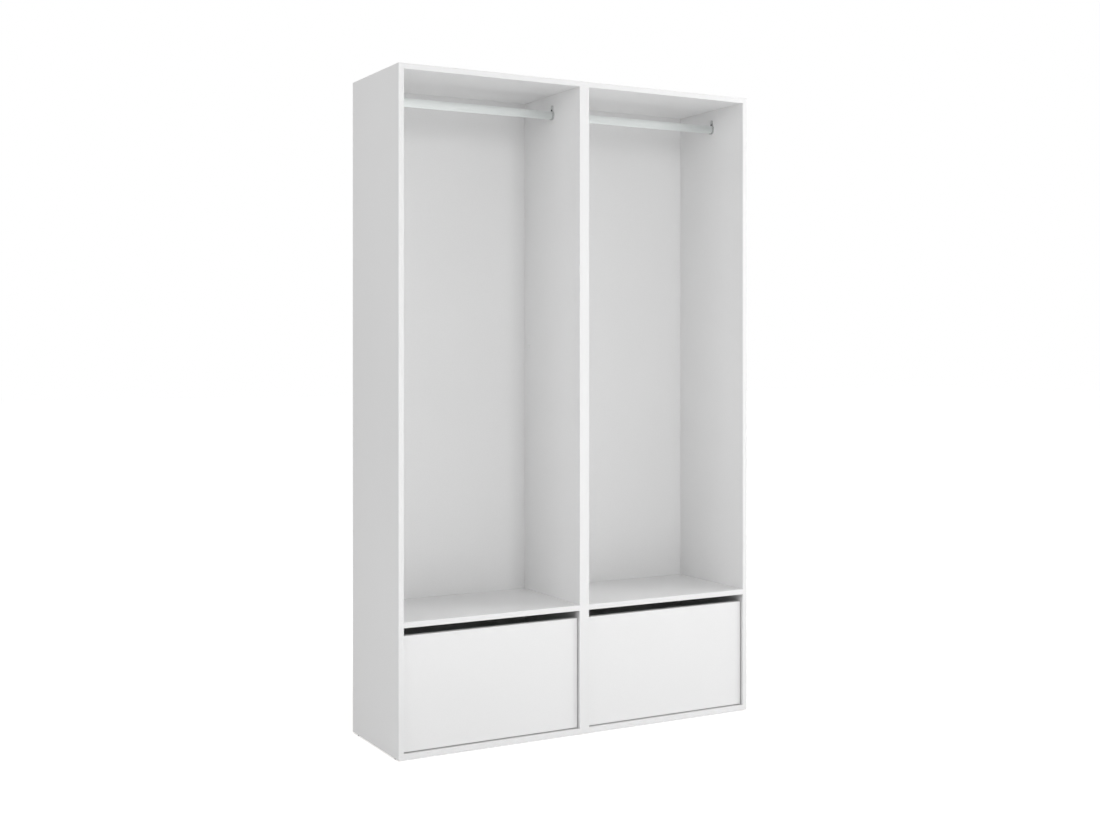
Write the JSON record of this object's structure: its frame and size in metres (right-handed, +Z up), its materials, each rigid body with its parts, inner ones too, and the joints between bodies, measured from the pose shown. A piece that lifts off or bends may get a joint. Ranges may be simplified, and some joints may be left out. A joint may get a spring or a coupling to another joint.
{
  "type": "open wardrobe",
  "caption": "Tall open wardrobe of joined board carcasses, each with a hanging rail, a fixed shelf and an inset drawer below, pulled by its finger gap.",
  "frame": {"origin": "on the floor, under the middle of the whole unit", "axes": "+Z up, the open front faces -Y, +X to the right of someone who faces the front from -Y"},
  "size_m": [1.2, 0.3536, 1.95],
  "materials": {
    "coated_board": "white melamine facing with banded edges, satin",
    "back_board": "white painted thin fibreboard, satin",
    "rail_metal": "pale anodised tube, satin",
    "support_metal": "grey plated casting, satin",
    "runner_steel": "white powder coat",
    "nylon": "plain moulded nylon",
    "zinc_steel": "zinc plated steel",
    "zinc_cast": "cast zinc, dull",
    "dowel_wood": "fluted beech, raw",
    "white_plastic": "moulded white plastic",
    "glide_plastic": "black moulded plastic"
  },
  "bodies": {
    "carcass": {"left_bay_outer_side": "coated_board", "left_bay_inner_side": "coated_board", "left_bay_top": "coated_board", "left_bay_shelf": "coated_board", "left_bay_bottom": "coated_board", "left_bay_back": "back_board", "left_bay_rail": "rail_metal", "left_bay_runner_left": "runner_steel", "left_bay_runner_right": "runner_steel", "right_bay_inner_side": "coated_board", "right_bay_outer_side": "coated_board", "right_bay_top": "coated_board", "right_bay_shelf": "coated_board", "right_bay_bottom": "coated_board", "right_bay_back": "back_board", "right_bay_rail": "rail_metal", "right_bay_runner_left": "runner_steel", "right_bay_runner_right": "runner_steel", "rail_supports": "support_metal", "rail_screws": "zinc_steel", "cam_locks": "zinc_cast", "cam_bolts": "zinc_steel", "dowels": "dowel_wood", "back_nails": "zinc_steel", "runner_screws": "zinc_steel", "joining_sleeves": "white_plastic", "joining_screws": "white_plastic", "glides": "glide_plastic"},
    "left_drawer": {"left_drawer_front": "coated_board", "left_drawer_side_left": "coated_board", "left_drawer_side_right": "coated_board", "left_drawer_back": "coated_board", "left_drawer_base": "back_board", "left_drawer_runner_left": "runner_steel", "left_drawer_runner_right": "runner_steel", "left_drawer_runner_screws": "zinc_steel", "left_drawer_cam_locks": "zinc_cast", "left_drawer_cam_bolts": "zinc_steel", "left_drawer_dowels": "dowel_wood", "left_drawer_box_screws": "zinc_steel", "left_drawer_nails": "zinc_steel"},
    "right_drawer": {"right_drawer_front": "coated_board", "right_drawer_side_left": "coated_board", "right_drawer_side_right": "coated_board", "right_drawer_back": "coated_board", "right_drawer_base": "back_board", "right_drawer_runner_left": "runner_steel", "right_drawer_runner_right": "runner_steel", "right_drawer_runner_screws": "zinc_steel", "right_drawer_cam_locks": "zinc_cast", "right_drawer_cam_bolts": "zinc_steel", "right_drawer_dowels": "dowel_wood", "right_drawer_box_screws": "zinc_steel", "right_drawer_nails": "zinc_steel"},
    "left_track_rollers": {"left_bay_rollers": "nylon"},
    "right_track_rollers": {"right_bay_rollers": "nylon"},
    "left_drawer_wheels": {"left_drawer_rollers": "nylon"},
    "right_drawer_wheels": {"right_drawer_rollers": "nylon"}
  },
  "joints": [
    {"name": "left_drawer_slide", "type": "slide", "parent": "carcass", "child": "left_drawer", "axis": [0, -1, 0], "range_m": [0, 0.225]},
    {"name": "right_drawer_slide", "type": "slide", "parent": "carcass", "child": "right_drawer", "axis": [0, -1, 0], "range_m": [0, 0.225]},
    {"name": "left_track_rollers_turn", "type": "hinge", "parent": "carcass", "child": "left_track_rollers", "pos_m": [-0.3, -0.13725, 0.04], "axis": [1, 0, 0], "range_deg": [0, 1230]},
    {"name": "right_track_rollers_turn", "type": "hinge", "parent": "carcass", "child": "right_track_rollers", "pos_m": [0.3, -0.13725, 0.04], "axis": [1, 0, 0], "range_deg": [0, 1230]},
    {"name": "left_drawer_wheels_turn", "type": "hinge", "parent": "left_drawer", "child": "left_drawer_wheels", "pos_m": [-0.3, 0.13825, 0.04], "axis": [1, 0, 0], "range_deg": [0, 1230]},
    {"name": "right_drawer_wheels_turn", "type": "hinge", "parent": "right_drawer", "child": "right_drawer_wheels", "pos_m": [0.3, 0.13825, 0.04], "axis": [1, 0, 0], "range_deg": [0, 1230]}
  ],
  "couplings": [
    {"joint": "left_track_rollers_turn", "follows": "left_drawer_slide", "rad_per_m": 95.238},
    {"joint": "right_track_rollers_turn", "follows": "right_drawer_slide", "rad_per_m": 95.238},
    {"joint": "left_drawer_wheels_turn", "follows": "left_drawer_slide", "rad_per_m": 95.238},
    {"joint": "right_drawer_wheels_turn", "follows": "right_drawer_slide", "rad_per_m": 95.238}
  ]
}
